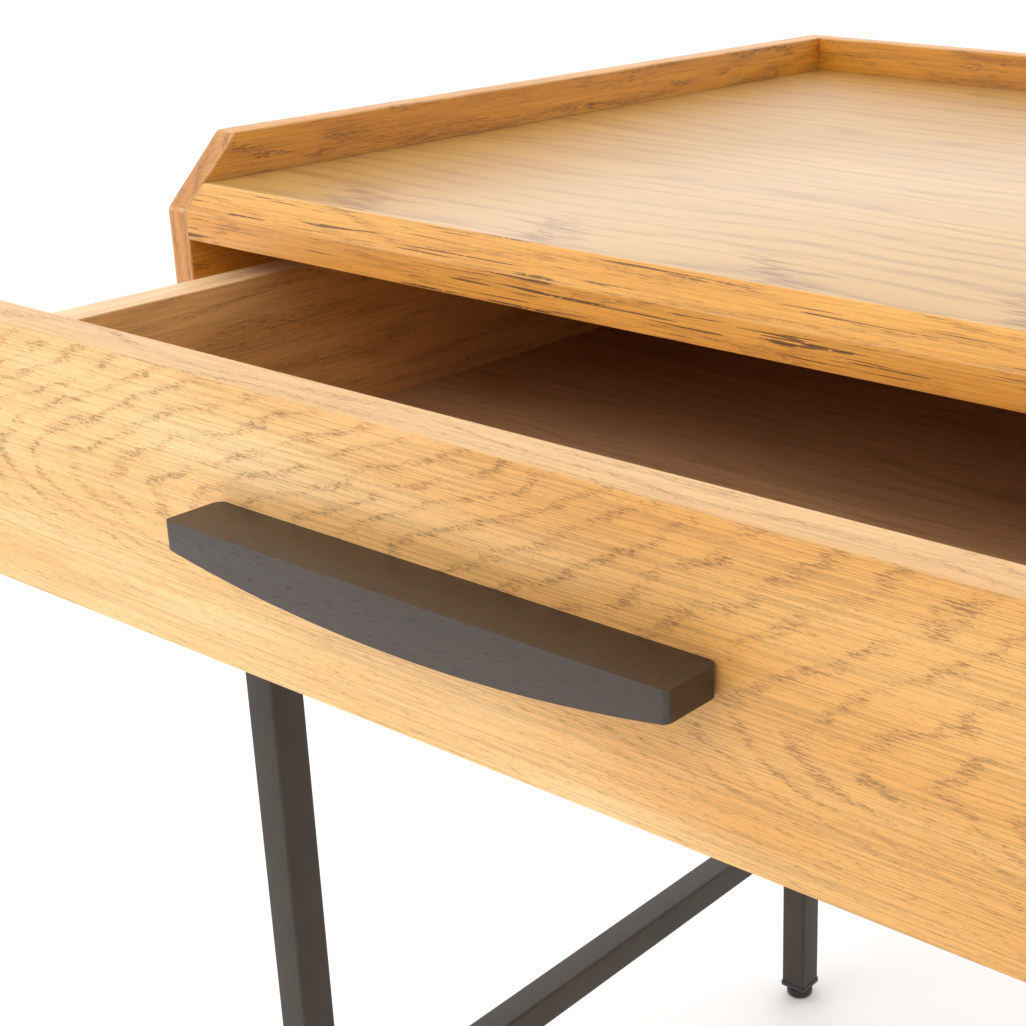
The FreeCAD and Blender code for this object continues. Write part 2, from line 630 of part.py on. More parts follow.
between_y = leg_rear - leg_front - tube
between_x = leg_x * 2 - tube
for lr, sgn in (("left", -1), ("right", 1)):
    b = tube_body("side_stretcher_" + lr, "XZ_Plane", "y", between_y, True)
    place(b, leg_x * sgn, leg_front + tube / 2, d("stretcher_level"))
    b = tube_body("top_rail_" + lr, "XZ_Plane", "y", between_y, True)
    place(b, leg_x * sgn, leg_front + tube / 2, d("case_base") - tube / 2)
for fb, y in (("front", leg_front), ("rear", leg_rear)):
    b = tube_body("top_rail_" + fb, "YZ_Plane", "x", between_x, False)
    sk = sketch(b, "XY_Plane", -tube / 2 - 1)
    for i in RAIL_SCREW_X:
        circle(sk, leg_x - tube / 2 + d("rail_screw_pitch") * i, 0, d("rail_hole_rad"))
    cut(b, sk)
    place(b, -leg_x + tube / 2, y, d("case_base") - tube / 2)

screws("frame_screws",
       [(d("rail_screw_pitch") * i, y, d("case_base") - tube, "+z") for y in (leg_front, leg_rear)
        for i in RAIL_SCREW_X],
       d("rail_screw_rad"), tube + d("rail_screw_bite") - 0.4, d("rail_head_rad"), d("rail_head_high"))

# ---------------------------------------------------------------- levelling feet
flange_base = d("leg_foot") - d("plug_flange_high")
for fb, y in (("front", leg_front), ("rear", leg_rear)):
    for lr, sgn in (("left", -1), ("right", 1)):
        b = body("leg_plug_%s_%s" % (fb, lr))
        h = d("plug_flange_side") / 2
        sk = sketch(b, "XY_Plane")
        rect(sk, -h, -h, h, h)
        pad(b, sk, d("plug_flange_high"))
        soften(b, d("plug_soft") * 2, lambda e: runs(e, "z"))
        fh = VALUE["plug_flange_high"]
        soften(b, d("plug_soft"), lambda e: at(e, z=0.0) or at(e, z=fh))
        h = d("plug_side") / 2
        sk = sketch(b, "XY_Plane", d("plug_flange_high"))
        rect(sk, -h, -h, h, h)
        pad(b, sk, d("plug_long"))
        sk = sketch(b, "XY_Plane")
        circle(sk, 0, 0, d("plug_bore_rad"))
        cut(b, sk)
        place(b, leg_x * sgn, y, flange_base)

        # the glide turns about the stud's axis: flat sole, rounded rim, socket for the stud
        b = body("foot_glide_%s_%s" % (fb, lr))
        r, gh = d("glide_rad"), d("glide_high")
        sk = sketch(b, "XZ_Plane")
        polygon(sk, [(0, 0), (r - 2.6, 0), (r - 1.1, 0.55), (r - 0.25, 1.7), (r, 2.9), (r, gh - 1.2),
                     (r - 0.4, gh - 0.3), (r - 1.0, gh), (d("stud_rad"), gh), (d("stud_rad"), d("glide_socket")),
                     (0, d("glide_socket"))])
        rev = b.newObject("PartDesign::Revolution", b.Name + "_rev")
        rev.Profile = sk
        rev.ReferenceAxis = (sk, ["V_Axis"])
        rev.Angle = 360.0
        doc.recompute()
        place(b, leg_x * sgn, y, 0)

        s = rod("foot_stud_%s_%s" % (fb, lr), leg_x * sgn, y, d("glide_socket"), "+z", d("stud_rad"),
                d("stud_long"))
        s.Label = s.Name
        parts[s.Label] = s

# ---------------------------------------------------------------- check and write
doc.recompute()
for o in doc.Objects:
    if "Invalid" in o.State or "Error" in o.State:
        raise RuntimeError("%s is in state %s" % (o.Label, o.State))
box = FreeCAD.BoundBox()
for label, o in parts.items():
    s = o.Shape
    if s.isNull() or not s.isValid() or not s.Solids:
        raise RuntimeError("bad shape: " + label)
    box.add(s.BoundBox)
print("nodes", len(parts))
print("box", [round(v, 2) for v in (box.XMin, box.XMax, box.YMin, box.YMax, box.ZMin, box.ZMax)])
if abs(box.XMin + box.XMax) > 0.02 or abs(box.YMin + box.YMax) > 0.3 or abs(box.ZMin) > 0.02:
    raise RuntimeError("the origin isn't at the middle of the base")

os.makedirs("parts", exist_ok=True)
for label, o in parts.items():
    o.Shape.exportStep(os.path.join("parts", label + ".step"))
print("volumes", {k: round(o.Shape.Volume / 1000, 2) for k, o in parts.items()})
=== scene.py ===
import math
import bmesh
import bpy
from mathutils import Matrix, Vector


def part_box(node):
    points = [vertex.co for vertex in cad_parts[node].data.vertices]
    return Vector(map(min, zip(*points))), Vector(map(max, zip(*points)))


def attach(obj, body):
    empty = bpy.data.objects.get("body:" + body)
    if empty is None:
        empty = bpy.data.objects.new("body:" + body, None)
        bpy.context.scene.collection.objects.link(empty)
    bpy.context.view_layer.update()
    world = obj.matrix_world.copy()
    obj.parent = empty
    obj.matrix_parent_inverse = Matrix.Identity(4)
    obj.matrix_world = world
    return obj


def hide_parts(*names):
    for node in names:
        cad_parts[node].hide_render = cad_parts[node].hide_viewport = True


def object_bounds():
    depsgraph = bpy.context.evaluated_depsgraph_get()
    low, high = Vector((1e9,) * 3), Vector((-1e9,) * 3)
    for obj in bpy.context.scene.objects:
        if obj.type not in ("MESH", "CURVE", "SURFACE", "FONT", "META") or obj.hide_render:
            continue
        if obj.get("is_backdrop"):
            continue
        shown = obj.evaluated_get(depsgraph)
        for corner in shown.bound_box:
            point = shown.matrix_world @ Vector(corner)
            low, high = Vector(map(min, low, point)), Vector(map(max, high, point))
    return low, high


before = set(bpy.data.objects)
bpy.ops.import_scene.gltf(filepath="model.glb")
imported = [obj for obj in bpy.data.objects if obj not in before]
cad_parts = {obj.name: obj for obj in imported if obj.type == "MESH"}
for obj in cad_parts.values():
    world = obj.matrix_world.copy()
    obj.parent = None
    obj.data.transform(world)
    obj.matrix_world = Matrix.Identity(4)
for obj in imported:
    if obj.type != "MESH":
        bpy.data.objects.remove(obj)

CAD_LO, CAD_HI = (list(v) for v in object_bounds())
MM = 0.001


# ------------------------------------------------------------------ small helpers
def lin(r, g, b):
    """An sRGB colour (0-255) as linear RGBA."""
    def f(v):
        v = v / 255.0
        return v / 12.92 if v <= 0.04045 else ((v + 0.055) / 1.055) ** 2.4
    return (f(r), f(g), f(b), 1.0)


class Tree:
    """A material's node tree, written as an expression."""

    def __init__(self, name, slot=None):
        self.mat = bpy.data.materials.new(name)
        self.mat.use_nodes = True
        self.nt = self.mat.node_tree
        self.nt.nodes.clear()
        self.out = self.nt.nodes.new("ShaderNodeOutputMaterial")
        self.bsdf = self.nt.nodes.new("ShaderNodeBsdfPrincipled")
        self.nt.links.new(self.bsdf.outputs[0], self.out.inputs[0])

    def put(self, sock, v):
        if isinstance(v, bpy.types.NodeSocket):
            self.nt.links.new(v, sock)
        else:
            sock.default_value = v

    def m(self, op, a, b=None, c=None, clamp=False):
        n = self.nt.nodes.new("ShaderNodeMath")
        n.operation = op
        n.use_clamp = clamp
        for i, v in enumerate((a, b, c)):
            if v is not None:
                self.put(n.inputs[i], v)
        return n.outputs[0]

    def add(self, a, b): return self.m("ADD", a, b)
    def sub(self, a, b): return self.m("SUBTRACT", a, b)
    def mul(self, a, b): return self.m("MULTIPLY", a, b)
    def lo(self, a, b): return self.m("MINIMUM", a, b)
    def hi(self, a, b): return self.m("MAXIMUM", a, b)

    def smooth(self, v, a, b, c=0.0, d=1.0):
        n = self.nt.nodes.new("ShaderNodeMapRange")
        n.interpolation_type = "SMOOTHSTEP"
        for i, w in enumerate((v, a, b, c, d)):
            self.put(n.inputs[i], w)
        return n.outputs[0]

    def line(self, v, a, b, c=0.0, d=1.0):
        n = self.nt.nodes.new("ShaderNodeMapRange")
        n.interpolation_type = "LINEAR"
        n.clamp = True
        for i, w in enumerate((v, a, b, c, d)):
            self.put(n.inputs[i], w)
        return n.outputs[0]

    def xyz(self, x, y, z):
        n = self.nt.nodes.new("ShaderNodeCombineXYZ")
        for i, v in enumerate((x, y, z)):
            self.put(n.inputs[i], v)
        return n.outputs[0]

    def mm(self):
        """The piece's own coordinates in millimetres, as three sockets."""
        tc = self.nt.nodes.new("ShaderNodeTexCoord")
        s = self.nt.nodes.new("ShaderNodeVectorMath")
        s.operation = "SCALE"
        self.nt.links.new(tc.outputs["Object"], s.inputs[0])
        s.inputs["Scale"].default_value = 1000.0
        sep = self.nt.nodes.new("ShaderNodeSeparateXYZ")
        self.nt.links.new(s.outputs[0], sep.inputs[0])
        return sep.outputs[0], sep.outputs[1], sep.outputs[2]

    def noise(self, vec, detail=2.0, rough=0.5, dist=0.0, scale=1.0):
        n = self.nt.nodes.new("ShaderNodeTexNoise")
        self.put(n.inputs["Vector"], vec)
        n.inputs["Scale"].default_value = scale
        n.inputs["Detail"].default_value = detail
        n.inputs["Roughness"].default_value = rough
        n.inputs["Distortion"].default_value = dist
        return n.outputs["Fac"]

    def mix(self, f, a, b, how="MIX"):
        n = self.nt.nodes.new("ShaderNodeMix")
        n.data_type = "RGBA"
        n.blend_type = how
        n.clamp_factor = True
        self.put(n.inputs["Factor"], f)
        self.put(n.inputs["A"], a)
        self.put(n.inputs["B"], b)
        return n.outputs["Result"]

    def gain(self, colour, value):
        """colour times a number that varies over the surface."""
        c = self.xyz(value, value, value)
        return self.mix(1.0, colour, c, "MULTIPLY")

    def attr(self, name):
        n = self.nt.nodes.new("ShaderNodeAttribute")
        n.attribute_name = name
        return n.outputs["Fac"]

    def bump(self, height, distance, strength=1.0):
        n = self.nt.nodes.new("ShaderNodeBump")
        n.inputs["Strength"].default_value = strength
        n.inputs["Distance"].default_value = distance
        self.put(n.inputs["Height"], height)
        self.nt.links.new(n.outputs[0], self.bsdf.inputs["Normal"])

    def finish(self, colour, rough, **sockets):
        self.put(self.bsdf.inputs["Base Color"], colour)
        self.put(self.bsdf.inputs["Roughness"], rough)
        for k, v in sockets.items():
            self.bsdf.inputs[k.replace("_", " ")].default_value = v
        return self.mat


# ------------------------------------------------------------------ oak
def oak(name, along="X", seed=0.0, light=(240, 200, 145), mid=(226, 176, 110), deep=(196, 138, 74),
        pore=(120, 84, 48), rings=None, ring_dark=0.35, fine=0.45, coarse=0.6, coarse_len=1.0, fleck=0.0,
        rough=0.42, coat=0.0, coat_rough=0.2, spec=0.5, relief=1.0, band=0.5, extra=None, arris=(250, 214, 160),
        smudge=0.0, streak=0.5, jagged=0.16, fine_len=1.0, fine_thin=1.0, coarse_lift=0.16, lines=0.20, coarse_thin=1.0, edge_wear_highlight=0.35,
        hair_g=0.028, hair_a=1.25, hair_det=2.0, early_rise=0.26, early_fall=(0.62, 0.30), fine_cut=0.585):
    """Lacquered oak. Fibres run along one axis; growth rings come from `rings`, a phase in cycles; pores are fine
    dashes along the fibre that crowd and darken at the start of each ring."""
    t = Tree(name)
    x, y, z = t.mm()
    x, y, z = (t.add(v, seed * k) for v, k in ((x, 37.0), (y, 53.0), (z, 29.0)))
    g, a, b = {"X": (x, y, z), "Y": (y, x, z), "Z": (z, x, y)}[along]
    fib = lambda fg, fa, det=2.0, r=0.5, d=0.0: t.noise(t.xyz(t.mul(g, fg), t.mul(a, fa), t.mul(b, fa)), det, r, d)

    broad = fib(0.006, 0.040, 2.0, 0.5)
    streaks = fib(0.010, 0.40, 3.0, 0.6)
    hair = fib(hair_g, hair_a, hair_det, 0.55)

    if rings is None:
        wob = fib(0.008, 0.03, 2.0, 0.5)
        phase = t.add(t.mul(a, 1 / 9.0), t.mul(wob, 5.0))
        phase = t.add(phase, t.mul(b, 1 / 15.0))
        weight = None
    else:
        phase, weight = rings(t, x, y, z, seed)
    jag = t.mul(t.sub(fib(0.10, 0.7, 2.0, 0.6), 0.5), jagged)
    frac = t.m("FRACT", t.add(phase, jag))
    early = t.mul(t.smooth(frac, 0.0, early_rise), t.smooth(frac, early_fall[0], early_fall[1]))
    late = t.smooth(frac, 0.5, 0.98)
    if weight is not None:
        early = t.mul(early, weight)
        late = t.mul(late, weight)

    patch = t.smooth(fib(0.03, 0.16, 2.0, 0.55), 0.30, 0.62)
    band_here = t.mul(early, t.add(t.mul(patch, 0.7), 0.3))

    fine_n = fib(0.22 / fine_len, 2.1 * fine_thin, 2.0, 0.55)
    cutf = t.sub(fine_cut, t.mul(band_here, 0.075))
    fine_p = t.smooth(fine_n, cutf, t.add(cutf, 0.10))
    coarse_n = fib(0.24 / coarse_len, 2.25 * coarse_thin, 1.0, 0.5)
    cut = t.sub(0.76, t.mul(band_here, coarse_lift))
    coarse_p = t.smooth(coarse_n, cut, t.add(cut, 0.08))
    pores = t.hi(t.mul(fine_p, t.mul(t.add(0.45, t.mul(band_here, 0.55)), fine)), t.mul(coarse_p, coarse))

    col = t.mix(t.smooth(broad, 0.32, 0.68), lin(*light), lin(*mid))
    col = t.mix(t.mul(t.smooth(streaks, 0.40, 0.70), streak), col, lin(*mid))
    col = t.mix(t.mul(late, 0.22 * band), col, lin(*mid))
    col = t.mix(t.mul(band_here, ring_dark), col, lin(*deep))
    if smudge:
        sm = t.smooth(fib(0.035, 0.22, 3.0, 0.65, 0.4), 0.56, 0.68)
        sm = t.mul(sm, t.smooth(fib(0.3, 1.7, 2.0, 0.6), 0.36, 0.6))
        col = t.mix(t.mul(sm, smudge), col, lin(*pore))
    if fleck:
        f1 = fib(0.021, 0.95, 1.0, 0.5)
        f2 = fib(0.036, 1.5, 1.0, 0.5)
        gate = t.smooth(fib(0.012, 0.10, 1.0, 0.5), 0.40, 0.58)
        cf = t.sub(0.70, t.mul(gate, 0.055))
        fl = t.hi(t.smooth(f1, cf, t.add(cf, 0.035)), t.mul(t.smooth(f2, t.add(cf, 0.01), t.add(cf, 0.05)), 0.8))
        fl = t.mul(fl, t.smooth(fib(0.35, 1.2, 2.0, 0.6), 0.30, 0.44))
        col = t.mix(t.mul(fl, fleck), col, lin(*pore))
        pores = t.hi(pores, t.mul(fl, 0.55))
    if extra is not None:
        col, pores = extra(t, x, y, z, seed, col, pores)
    col = t.gain(col, t.add(1.0 - lines / 2, t.mul(t.smooth(hair, 0.36, 0.58), lines)))
    col = t.mix(pores, col, lin(*pore))
    # The eased edges (arris faces) are lightened toward the pale arris colour: partly rubbed wear, partly a painted
    # highlight along the edge.
    edge_wear_highlight_mask = t.mul(t.attr("arris"), t.smooth(fib(0.03, 0.2, 2.0, 0.5), 0.25, 0.6))
    col = t.mix(t.mul(edge_wear_highlight_mask, edge_wear_highlight), col, lin(*arris))
    rgh = t.add(t.add(rough - 0.03, t.mul(hair, 0.06)), t.mul(pores, 0.25))
    height = t.sub(t.mul(hair, 0.10), t.mul(pores, 1.0))
    t.bump(height, 0.00010 * relief, 0.55)
    return t.finish(col, rgh, Specular_IOR_Level=spec, Coat_Weight=coat, Coat_Roughness=coat_rough)


def front_rings(t, x, y, z, seed):
    """Cathedral figure on the drawer front: nested arcs that point left, opening to the right."""
    u = t.add(x, 238.0 - 37.0 * seed)
    zz = t.sub(z, 29.0 * seed)
    w1 = t.sub(t.noise(t.xyz(t.mul(u, 0.012), 0.0, t.mul(zz, 0.03)), 2.0, 0.5), 0.5)
    w2 = t.sub(t.noise(t.xyz(t.mul(u, 0.05), 7.0, t.mul(zz, 0.14)), 2.0, 0.55), 0.5)
    axis = t.add(498.0, t.mul(w1, 16.0))
    axis = t.sub(axis, t.mul(t.smooth(u, 230.0, 360.0), 10.0))
    dz = t.sub(zz, axis)
    up = t.hi(dz, 0.0)
    dn = t.hi(t.mul(dz, -1.0), 0.0)
    au = t.sub(2.7, t.mul(t.smooth(u, 230.0, 350.0), 1.2))
    root = t.sub(t.m("SQRT", t.add(t.mul(up, up), 30.0)), 5.48)
    upper = t.mul(root, au)
    rootd = t.sub(t.m("SQRT", t.add(t.mul(dn, dn), 60.0)), 7.75)
    lower = t.add(t.mul(rootd, 2.3), t.mul(t.mul(dn, dn), 0.045))
    f = t.sub(t.sub(u, upper), lower)
    f = t.add(f, t.mul(w2, 22.0))
    weight = t.smooth(dn, 34.0, 4.0, 0.35, 1.0)
    return t.mul(f, 1 / 19.0), weight


def top_rings(t, x, y, z, seed):
    """Long, gently wavy lines across the width of the top."""
    u = t.add(x, 238.0 - 37.0 * seed)
    v = t.add(t.sub(y, 53.0 * seed), 141.4)
    w1 = t.sub(t.noise(t.xyz(t.mul(u, 0.007), t.mul(v, 0.012), 3.0), 2.0, 0.5), 0.5)
    w2 = t.sub(t.noise(t.xyz(t.mul(u, 0.0), t.mul(v, 0.05), 9.0), 1.0, 0.5), 0.5)
    f = t.add(v, t.add(t.mul(w1, 34.0), t.mul(w2, 26.0)))
    return t.mul(f, 1 / 12.5), None


def top_tips(t, x, y, z, seed, col, pores):
    """Ring tips that run out at the front edge of the top as smudged slanting bands."""
    u = t.add(x, 238.0 - 37.0 * seed)
    v = t.add(t.sub(y, 53.0 * seed), 141.4)
    w = t.sub(t.noise(t.xyz(t.mul(u, 0.022), t.mul(v, 0.20), 1.0), 3.0, 0.6), 0.5)
    f = t.add(t.add(u, t.mul(v, 0.75)), t.mul(w, 75.0))
    fr = t.m("FRACT", t.mul(t.sub(f, 168.0), 1 / 88.0))
    bandf = t.mul(t.smooth(fr, 0.0, 0.10), t.smooth(fr, 0.34, 0.14))
    edge = t.mul(t.smooth(t.add(v, t.mul(w, 30.0)), 50.0, 30.0), t.smooth(v, 2.0, 14.0, 0.35, 1.0))
    dash = t.smooth(t.noise(t.xyz(t.mul(u, 0.07), t.mul(v, 0.62), 5.0), 3.0, 0.65), 0.36, 0.64)
    k = t.mul(t.mul(bandf, edge), dash)
    col = t.mix(t.mul(k, 0.85), col, lin(138, 84, 30))
    xc = t.m("ABSOLUTE", t.sub(u, 238.0))
    gap = t.hi(t.smooth(xc, 225.9, 227.0), t.smooth(v, 391.8, 393.0))
    # Along the gallery junction the top is darkened in a mottled band: partly dirt, partly painted shade in the inside
    # corner.
    near_gap = t.hi(t.smooth(xc, 221.0, 227.5), t.smooth(v, 386.0, 393.5))
    grime_and_corner_shade = t.smooth(t.noise(t.xyz(t.mul(u, 0.06), t.mul(v, 0.06), 2.0), 2.0, 0.6), 0.3, 0.65)
    col = t.mix(t.mul(near_gap, t.mul(grime_and_corner_shade, 0.22)), col, lin(120, 76, 36))
    col = t.mix(t.mul(gap, 0.85), col, lin(64, 38, 17))
    return col, t.hi(pores, t.mul(k, 0.12))


def front_tint(t, x, y, z, seed, col, pores):
    """The drawer front is a little paler towards its left end."""
    u = t.add(x, 238.0 - 37.0 * seed)
    cloud = t.noise(t.xyz(t.mul(u, 0.010), 4.0, t.mul(z, 0.022)), 2.0, 0.5)
    zz = t.sub(t.sub(z, 29.0 * seed), 470.0)
    w = t.add(t.add(u, t.mul(zz, 1.3)), t.mul(t.sub(cloud, 0.5), 170.0))
    k = t.smooth(w, 210.0, 380.0)
    return t.mix(k, col, t.mix(1.0, col, lin(230, 212, 174), "MULTIPLY")), pores


# ------------------------------------------------------------------ other finishes
def powder(name, base=(55, 47, 39), rough=0.48, spec=0.32):
    """Fine-textured powder coat, lighter along the tube corners: a little rubbed wear and a painted edge highlight."""
    t = Tree(name)
    x, y, z = t.mm()
    p = t.xyz(x, y, z)
    grain = t.noise(p, 3.0, 0.6, 0.0, 2.4)
    peel = t.noise(p, 2.0, 0.5, 0.0, 0.55)
    cloud = t.noise(p, 2.0, 0.5, 0.0, 0.03)
    col = t.mix(t.smooth(cloud, 0.3, 0.7), lin(*base), lin(*(c * 1.10 for c in base)))
    col = t.gain(col, t.add(0.86, t.mul(grain, 0.28)))
    # The tube corners are lightened: partly rubbed wear, partly a painted highlight along the corners.
    edge_wear_highlight_mask = t.mul(t.attr("arris"), t.smooth(t.noise(p, 3.0, 0.6, 0.0, 0.09), 0.35, 0.7))
    col = t.mix(t.mul(edge_wear_highlight_mask, 0.06), col, lin(122, 114, 104))
    rgh = t.add(rough - 0.06, t.mul(grain, 0.12))
    t.bump(t.add(t.mul(grain, 0.45), t.mul(peel, 0.55)), 0.00009, 0.5)
    return t.finish(col, rgh, Specular_IOR_Level=spec)


def stained(name):
    """Dark stained hardwood, open-grained, for the pull."""
    t = Tree(name)
    x, y, z = t.mm()
    fib = lambda fg, fa, det=2.0, r=0.5: t.noise(t.xyz(t.mul(x, fg), t.mul(y, fa), t.mul(z, fa)), det, r)
    broad = fib(0.01, 0.12)
    hair = fib(0.05, 2.0, 3.0, 0.6)
    pores = t.smooth(fib(0.20, 2.7, 1.5), 0.58, 0.70)
    col = t.mix(t.smooth(broad, 0.3, 0.7), lin(38, 23, 11), lin(28, 17, 8))
    col = t.gain(col, t.add(0.72, t.mul(hair, 0.56)))
    col = t.mix(t.mul(pores, 0.6), col, lin(13, 9, 6))
    # The eased edges of the pull are lightened: partly rubbed wear, partly a painted highlight along the edges.
    edge_wear_highlight_mask = t.mul(t.attr("arris"), t.smooth(fib(0.05, 0.3), 0.25, 0.6))
    col = t.mix(t.mul(edge_wear_highlight_mask, 0.45), col, lin(104, 84, 66))
    rgh = t.add(0.37, t.add(t.mul(hair, 0.10), t.mul(pores, 0.22)))
    t.bump(t.sub(t.mul(hair, 0.5), pores), 0.00016, 0.6)
    return t.finish(col, rgh, Specular_IOR_Level=0.88, Specular_Tint=(1.0, 0.90, 0.82, 1.0), Coat_Weight=0.02, Coat_Roughness=0.3)


def plastic(name, base=(30, 29, 29), rough=0.42):
    t = Tree(name)
    x, y, z = t.mm()
    p = t.xyz(x, y, z)
    fine = t.noise(p, 3.0, 0.6, 0.0, 3.5)
    cloud = t.noise(p, 2.0, 0.5, 0.0, 0.12)
    col = t.mix(t.smooth(cloud, 0.3, 0.7), lin(*base), lin(*(c * 1.2 + 2 for c in base)))
    col = t.gain(col, t.add(0.9, t.mul(fine, 0.2)))
    scuff = t.smooth(t.noise(t.xyz(t.mul(x, 0.9), t.mul(y, 0.9), t.mul(z, 3.0)), 3.0, 0.65), 0.62, 0.75)
    col = t.mix(t.mul(scuff, 0.25), col, lin(70, 68, 66))
    t.bump(fine, 0.00005, 0.5)
    return t.finish(col, t.add(rough - 0.05, t.add(t.mul(fine, 0.08), t.mul(scuff, 0.15))), Specular_IOR_Level=0.5)


def steel(name, base=(176, 178, 180), rough=0.30, drawn="Y", metallic=0.92):
    """Bright zinc-plated steel with rolling marks along one axis."""
    t = Tree(name)
    x, y, z = t.mm()
    s = {"X": (0.02, 1.6, 1.6), "Y": (1.6, 0.02, 1.6), "Z": (1.6, 1.6, 0.02)}[drawn]
    roll = t.noise(t.xyz(t.mul(x, s[0]), t.mul(y, s[1]), t.mul(z, s[2])), 3.0, 0.6)
    cloud = t.noise(t.xyz(x, y, z), 3.0, 0.55, 0.4, 0.05)
    spangle = t.noise(t.xyz(x, y, z), 2.0, 0.5, 0.0, 0.5)
    col = t.mix(t.smooth(cloud, 0.3, 0.7), lin(*base), lin(*(c * 0.93 for c in base)))
    col = t.gain(col, t.add(0.9, t.add(t.mul(roll, 0.12), t.mul(spangle, 0.05))))
    t.bump(t.add(t.mul(roll, 0.7), t.mul(spangle, 0.3)), 0.00003, 0.4)
    return t.finish(col, t.add(rough - 0.08, t.add(t.mul(roll, 0.12), t.mul(cloud, 0.05))), Metallic=metallic)


# ------------------------------------------------------------------ mesh helpers
def store(bm, name, mats, arris_faces=(), smooth=True, angle=32.0):
    """Writes the bmesh to a new object; arris_faces are marked for the lighter edges in the finishes (rubbed wear and
    painted highlight).
    """
    bmesh.ops.recalc_face_normals(bm, faces=bm.faces[:])
    marks = set(f for f in arris_faces if f.is_valid)
    flags = [1.0 if f in marks else 0.0 for f in bm.faces]
    bm.faces.index_update()
    me = bpy.data.meshes.new(name)
    bm.to_mesh(me)
    bm.free()
    at = me.attributes.new("arris", "FLOAT", "FACE")
    at.data.foreach_set("value", flags)
    for m in (mats if isinstance(mats, (list, tuple)) else [mats]):
        me.materials.append(m)
    if smooth:
        me.polygons.foreach_set("use_smooth", [True] * len(me.polygons))
        me.set_sharp_from_angle(angle=math.radians(angle))
    ob = bpy.data.objects.new(name, me)
    bpy.context.scene.collection.objects.link(ob)
    return ob


def place_pt(axis, p, h):
    return {"X": (h, p[0], p[1]), "Y": (p[0], h, p[1]), "Z": (p[0], p[1], h)}[axis]


def prism_bm(pts, axis, lo, hi, cuts=()):
    """A closed prism; pts in the plane across the axis; cuts are extra stations along it."""
    bm = bmesh.new()
    stations = [lo] + sorted(cuts) + [hi]
    loops = [[bm.verts.new(place_pt(axis, p, h)) for p in pts] for h in stations]
    n = len(pts)
    bm.faces.new(loops[0][::-1])
    bm.faces.new(loops[-1])
    for k in range(len(loops) - 1):
        for i in range(n):
            bm.faces.new((loops[k][i], loops[k][(i + 1) % n], loops[k + 1][(i + 1) % n], loops[k + 1][i]))
    bmesh.ops.recalc_face_normals(bm, faces=bm.faces[:])
    return bm


def round_edges(bm, radius, segments=3, test=None, angle=20.0):
    edges = [e for e in bm.edges if len(e.link_faces) == 2 and e.calc_face_angle(0.0) > math.radians(angle)
             and (test is None or test(e))]
    r = bmesh.ops.bevel(bm, geom=edges, offset=radius, offset_type="OFFSET", segments=segments, profile=0.5,
                        affect="EDGES", clamp_overlap=True)
    return r["faces"]


def mid(e):
    return (e.verts[0].co + e.verts[1].co) / 2


def near(a, b, tol=1e-5):
    return abs(a - b) < tol


def own(ob, body, slot, *nodes):
    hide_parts(*nodes)
    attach(ob, body)
    return ob


# ------------------------------------------------------------------ finishes
M_TOP = oak("oak_top_face", "X", 1.0, light=(203, 157, 87), mid=(193, 146, 78), deep=(142, 97, 46),
            band=0.3, pore=(150, 108, 62), rings=top_rings, ring_dark=0.44, fine=0.12, coarse=0.22, rough=0.31,
            spec=0.50, relief=0.3, lines=0.10, extra=top_tips, streak=0.35, early_rise=0.20, early_fall=(0.50, 0.22),
            jagged=0.22)
M_LIP = oak("oak_lipping", "X", 2.0, light=(234, 172, 84), mid=(220, 154, 66), deep=(184, 120, 44),
            pore=(90, 60, 36), ring_dark=0.25, fine=0.35, coarse=0.5, coarse_len=3.0, fleck=0.74, rough=0.42,
            relief=1.0, edge_wear_highlight=0.12, hair_a=1.7)
M_UNDER = oak("oak_underside", "X", 12.0, light=(176, 128, 76), mid=(160, 112, 64), deep=(122, 82, 44),
              pore=(80, 54, 32), ring_dark=0.3, fine=0.5, coarse=0.5, coarse_len=2.0, rough=0.62, relief=1.2)
M_SIDE = oak("oak_side", "Y", 3.0, light=(226, 158, 58), mid=(206, 137, 45), deep=(152, 95, 31),
             pore=(80, 50, 26), ring_dark=0.3, fine=0.35, coarse=0.5, coarse_len=2.0, smudge=0.62, rough=0.45,
             hair_a=1.7)
M_SIDE_END = oak("oak_side_edge", "Z", 3.5, light=(210, 150, 87), mid=(196, 134, 75), deep=(152, 98, 54),
                 pore=(114, 74, 44), ring_dark=0.3, fine=0.6, coarse=0.4, fine_len=0.6, coarse_len=0.6, rough=0.5)
M_BACK = oak("oak_back", "X", 4.0, light=(220, 152, 48), mid=(200, 132, 39), deep=(148, 91, 29),
             pore=(78, 46, 22), ring_dark=0.3, fine=0.35, coarse=0.5, coarse_len=2.0, smudge=0.4, rough=0.45)
M_BASE = oak("oak_base", "X", 5.0, light=(220, 172, 112), mid=(206, 154, 92), deep=(164, 112, 58),
             pore=(104, 70, 38), rough=0.5)
M_FRONT = oak("oak_front", "X", 0.0, light=(244, 202, 145), mid=(235, 182, 114), deep=(188, 132, 70),
              pore=(112, 76, 43), rings=front_rings, ring_dark=0.19, fine=0.60, coarse=0.60, lines=0.25, rough=0.45,
              relief=1.0, extra=front_tint, hair_g=0.024, hair_a=2.3, hair_det=1.0, streak=0.16, fine_len=0.62,
              fine_thin=1.6, coarse_len=0.48, coarse_thin=1.65, coarse_lift=0.20, fine_cut=0.585,
              early_rise=0.22, early_fall=(0.58, 0.28))
M_EDGE = oak("oak_edge", "X", 10.0, light=(226, 182, 124), mid=(214, 166, 106), deep=(180, 130, 78),
             pore=(150, 108, 70), ring_dark=0.2, fine=0.6, coarse=0.4, coarse_len=0.6, fine_len=0.6, rough=0.5)
